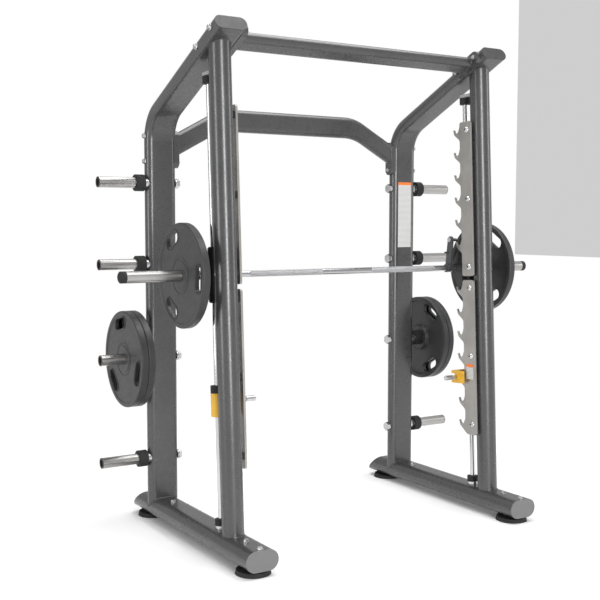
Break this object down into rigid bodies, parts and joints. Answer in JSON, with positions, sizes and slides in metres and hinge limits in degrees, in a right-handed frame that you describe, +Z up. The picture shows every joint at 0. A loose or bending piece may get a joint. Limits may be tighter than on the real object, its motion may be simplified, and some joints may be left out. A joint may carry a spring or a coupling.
{
  "type": "smith machine",
  "caption": "Counter-free guided barbell rack: bar on two leaning rods, latch hooks, adjustable safety stops, side plate storage, hollow oval tube frame on rubber feet.",
  "frame": {"origin": "centre of the footprint, on the floor", "axes": "+X along the bar to the machine's right-hand side as it is modelled, +Y from the front posts to the rear uprights, +Z up"},
  "size_m": [2.272, 1.19, 2.2672],
  "materials": {
    "frame_grey": "satin metallic dark grey",
    "cap_dark": "moulded plastic",
    "rack_grey": "zinc-coated steel",
    "chrome": "polished",
    "bar_steel": "hard chrome",
    "peg_steel": "brushed",
    "latch_grey": "satin",
    "housing_black": "semi-gloss black",
    "plate_iron": "matt black",
    "stop_yellow": "satin yellow",
    "rubber_black": "matt",
    "bolt_zinc": "zinc",
    "bronze": "sintered",
    "bearing_steel": "ground",
    "card": "printed card",
    "bracket_grey": "satin light grey"
  },
  "bodies": {
    "frame": {"base_bolts": "bolt_zinc", "base_end_caps": "cap_dark", "base_tube_left": "frame_grey", "base_tube_right": "frame_grey", "beam_end_caps": "cap_dark", "crossbar_bolts": "bolt_zinc", "crossbar_nuts": "bolt_zinc", "feet": "rubber_black", "front_post_left": "frame_grey", "front_post_right": "frame_grey", "guide_rod_left": "chrome", "guide_rod_right": "chrome", "lower_rack_left": "rack_grey", "lower_rack_right": "rack_grey", "peg_bolts": "bolt_zinc", "peg_bumpers": "rubber_black", "peg_end_rings": "cap_dark", "peg_saddles": "bolt_zinc", "placards": "card", "rack_bolts": "bolt_zinc", "rack_spacers": "cap_dark", "rear_crossbar": "frame_grey", "rod_bumpers": "rubber_black", "rod_collars": "bolt_zinc", "rod_top_brackets": "bracket_grey", "side_tube_left": "frame_grey", "side_tube_right": "frame_grey", "storage_pegs_left": "peg_steel", "storage_pegs_right": "peg_steel", "top_crossbar": "frame_grey", "upper_rack_left": "rack_grey", "upper_rack_right": "rack_grey"},
    "carriages": {"bar_bushes": "bronze", "carriage_left": "housing_black", "carriage_right": "housing_black", "linear_bearings": "bearing_steel"},
    "bar": {"bar": "bar_steel", "bar_collars": "bolt_zinc", "latch_left": "latch_grey", "latch_pins": "bolt_zinc", "latch_right": "latch_grey", "sleeve_end_caps": "rubber_black", "sleeve_left": "peg_steel", "sleeve_right": "peg_steel"},
    "left_bar_plate": {"bar_plate_left": "plate_iron"},
    "left_stored_plates": {"stored_plate_inner_left": "plate_iron", "stored_plate_outer_left": "plate_iron"},
    "left_stop": {"stop_bumper_left": "rubber_black", "stop_bush_left": "bronze", "stop_left": "stop_yellow"},
    "left_stop_pin": {"stop_pin_left": "bolt_zinc"},
    "right_bar_plate": {"bar_plate_right": "plate_iron"},
    "right_stored_plates": {"stored_plate_inner_right": "plate_iron", "stored_plate_outer_right": "plate_iron"},
    "right_stop": {"stop_bumper_right": "rubber_black", "stop_bush_right": "bronze", "stop_right": "stop_yellow"},
    "right_stop_pin": {"stop_pin_right": "bolt_zinc"}
  },
  "joints": [
    {"name": "bar_lift", "type": "slide", "parent": "frame", "child": "carriages", "axis": [0, 0.0506, 0.9987], "range_m": [-0.2216, 0.6648]},
    {"name": "bar_twist", "type": "hinge", "parent": "carriages", "child": "bar", "pos_m": [0, -0.14087, 1.20291], "axis": [1, 0, 0], "range_deg": [-20, 17]},
    {"name": "left_stop_slide", "type": "slide", "parent": "frame", "child": "left_stop", "axis": [0, 0.0506, 0.9987], "range_m": [-0.2216, 0.1108]},
    {"name": "left_stop_pull", "type": "slide", "parent": "left_stop", "child": "left_stop_pin", "axis": [-1, 0, 0], "range_m": [0, 0.024]},
    {"name": "left_bar_plate_slide", "type": "slide", "parent": "bar", "child": "left_bar_plate", "axis": [-1, 0, 0], "range_m": [0, 0.27]},
    {"name": "left_stored_plates_slide", "type": "slide", "parent": "frame", "child": "left_stored_plates", "axis": [-1, 0, 0], "range_m": [0, 0.15]},
    {"name": "right_stop_slide", "type": "slide", "parent": "frame", "child": "right_stop", "axis": [0, 0.0506, 0.9987], "range_m": [-0.2216, 0.1108]},
    {"name": "right_stop_pull", "type": "slide", "parent": "right_stop", "child": "right_stop_pin", "axis": [1, 0, 0], "range_m": [0, 0.024]},
    {"name": "right_bar_plate_slide", "type": "slide", "parent": "bar", "child": "right_bar_plate", "axis": [1, 0, 0], "range_m": [0, 0.27]},
    {"name": "right_stored_plates_slide", "type": "slide", "parent": "frame", "child": "right_stored_plates", "axis": [1, 0, 0], "range_m": [0, 0.15]}
  ]
}
